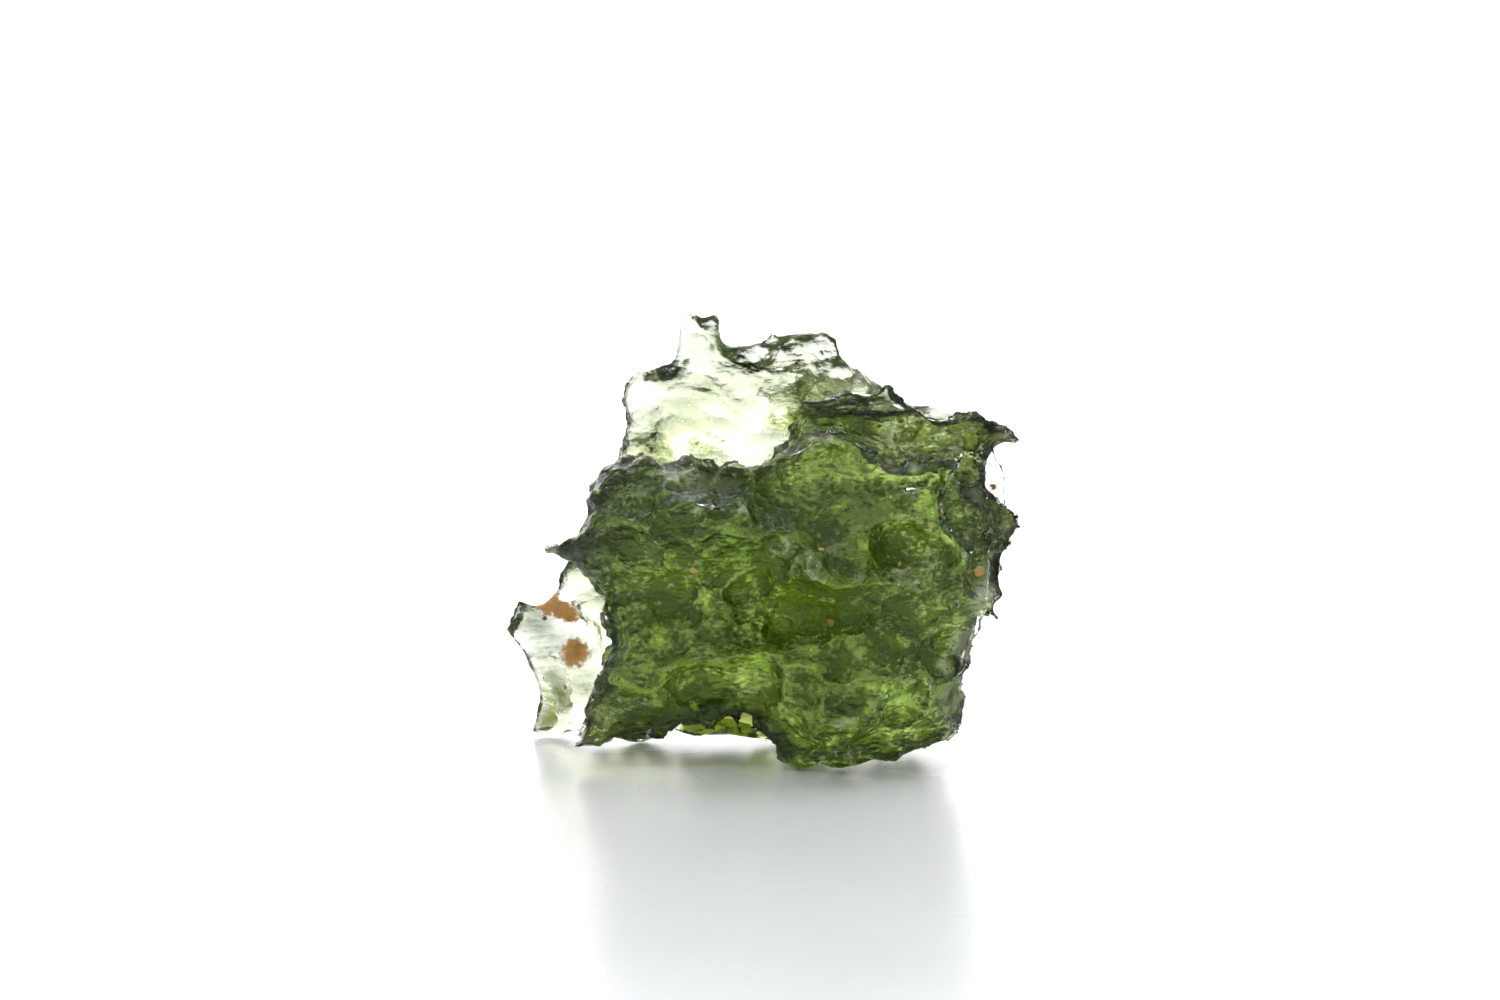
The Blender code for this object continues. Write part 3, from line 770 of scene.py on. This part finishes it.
    def ridges(self, rounds: int) -> np.ndarray:
        """How far each vertex stands out from a smoothed surface.

        Args:
            rounds: how often the surface is smoothed, so how broad the ridges are that it finds.

        Returns:
            The height over the smoothed surface, in metres, under 0 in a hollow.
        """
        normals = np.empty(len(self.mesh.vertices) * 3)
        self.mesh.vertices.foreach_get("normal", normals)
        places = self.places()
        return ((places - self.averaged(places, rounds)) * normals.reshape(-1, 3)).sum(axis=1)

    def places(self) -> np.ndarray:
        """Where each vertex is."""
        found = np.empty(len(self.mesh.vertices) * 3)
        self.mesh.vertices.foreach_get("co", found)
        return found.reshape(-1, 3)

    def averaged(self, values: np.ndarray, rounds: int) -> np.ndarray:
        """Evens out values over the surface.

        Args:
            values: a row of numbers for each vertex.
            rounds: how often each vertex moves halfway to the mean of its neighbours.

        Returns:
            The evened rows.
        """
        ends = np.empty(len(self.mesh.edges) * 2, dtype=np.int64)
        self.mesh.edges.foreach_get("vertices", ends)
        first, second = np.concatenate((ends[::2], ends[1::2])), np.concatenate((ends[1::2], ends[::2]))
        count = len(values)
        neighbours = np.maximum(np.bincount(first, minlength=count), 1)
        even = values.copy()
        for _ in range(rounds):
            for column in range(even.shape[1]):
                total = np.bincount(first, weights=even[second, column], minlength=count)
                even[:, column] = 0.5 * even[:, column] + 0.5 * total / neighbours
        return even

    def wear_plate(self) -> None:
        """Wears down the thin plate behind, whose surface is smoother than the front's."""
        places = self.places()
        behind = np.clip((places[:, 1] - self.plate_front) / self.plate_blend, 0.0, 1.0)
        thin = np.clip((self.plate_depth - np.array(self.thicknesses())) / self.plate_blend, 0.0, 1.0)
        self.calm = self.averaged((behind * thin).reshape(-1, 1), self.plate_rounds)[:, 0]
        worn = self.averaged(places, self.plate_rounds)
        places += self.calm.reshape(-1, 1) * (worn - places)
        self.mesh.vertices.foreach_set("co", places.ravel())
        self.mesh.update()

    def write_attribute(self, name: str, values: list[float] | np.ndarray) -> None:
        """Stores one number for each vertex under that name, for the material to read."""
        layer = self.mesh.attributes.new(name, "FLOAT", "POINT")
        layer.data.foreach_set("value", values)


@dataclass
class Studio:
    """The pale floor, the bright backdrop and the lights."""

    floor_finish: FloorFinish = field(default_factory=FloorFinish)
    floor_half: float = 1.5
    backdrop: float = 2.6
    overhead: float = 0.55
    aside: float = 0.32
    in_front: float = 0.1

    def build(self) -> None:
        """Adds the floor, the surroundings and the lights."""
        self.add_floor()
        self.add_surroundings()
        self.add_light("overhead", Vector((0.0, 60, 240)) * MM, 110 * MM, 0.15)
        self.add_light("from_the_left", Vector((-130, -120, 190)) * MM, 14 * MM, 0.09)
        settings = bpy.context.scene.view_settings
        settings.view_transform = "Standard"
        cycles = bpy.context.scene.cycles
        cycles.max_bounces = 16
        cycles.transmission_bounces = 16

    def add_floor(self) -> None:
        """Lays the table top under the stone."""
        work = bmesh.new()
        bmesh.ops.create_grid(work, x_segments=1, y_segments=1, size=self.floor_half)
        mesh = bpy.data.meshes.new("floor")
        work.to_mesh(mesh)
        work.free()
        mesh.materials.append(self.floor_finish.material())
        floor = bpy.data.objects.new("floor", mesh)
        bpy.context.scene.collection.objects.link(floor)

    def add_surroundings(self) -> None:
        """Makes a world that is bright behind the stone, dim in front, and plain white where it is seen."""
        world = bpy.data.worlds.new("studio")
        world.use_nodes = True
        bpy.context.scene.world = world
        graph = NodeGraph(world.node_tree)
        glow = world.node_tree.nodes["Background"]
        glow.inputs["Color"].default_value = (1.0, 1.0, 1.0, 1.0)
        place = graph.add("NodeTexCoord")
        axes = graph.add("NodeSeparateXYZ")
        graph.link(place.outputs["Generated"], axes, "Vector")
        room = graph.spread(axes.outputs["Y"], -0.9, 0.1, (self.in_front, self.aside))
        ceiling = graph.spread(axes.outputs["Z"], 0.2, 0.8, (0.0, self.overhead))
        towards = graph.add("NodeVectorMath", operation="DOT_PRODUCT")
        graph.link(place.outputs["Generated"], towards, 0)
        towards.inputs[1].default_value = (0.0, 0.985, 0.174)
        card = graph.spread(towards.outputs["Value"], 0.72, 0.95, (0.0, self.backdrop))
        graph.link(graph.math("ADD", graph.math("ADD", room, ceiling), card), glow, "Strength")
        plain = graph.add("NodeBackground")
        plain.inputs["Color"].default_value = (1.0, 1.0, 1.0, 1.0)
        path = graph.add("NodeLightPath")
        choice = graph.add("NodeMixShader")
        graph.link(path.outputs["Is Camera Ray"], choice, 0)
        graph.link(glow.outputs[0], choice, 1)
        graph.link(plain.outputs[0], choice, 2)
        graph.link(choice.outputs[0], world.node_tree.nodes["World Output"], "Surface")

    def add_light(self, name: str, place: Vector, size: float, watts: float) -> None:
        """Adds a square area light that faces the stone.

        Args:
            name: the light's name.
            place: where it hangs.
            size: the length of its side.
            watts: its power.
        """
        data = bpy.data.lights.new(name, "AREA")
        data.size = size
        data.energy = watts
        light = bpy.data.objects.new(name, data)
        light.location = place
        light.rotation_euler = (Vector((0.0, 0.0, 8 * MM)) - place).to_track_quat("-Z", "Y").to_euler()
        light.visible_camera = False
        bpy.context.scene.collection.objects.link(light)


def main() -> None:
    """Builds the stone and its studio."""
    logging.basicConfig(level=logging.INFO, format="%(name)s: %(message)s")
    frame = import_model()
    camera = PhotoCamera()
    camera.create()
    piece = Moldavite(camera).build()
    log.info("%s: %d faces, in place of %s", piece.name, len(piece.data.polygons), ", ".join(frame["nodes"]))
    Studio().build()
    log.info("studio: floor, surroundings and lights")


if __name__ == "__main__":
    main()
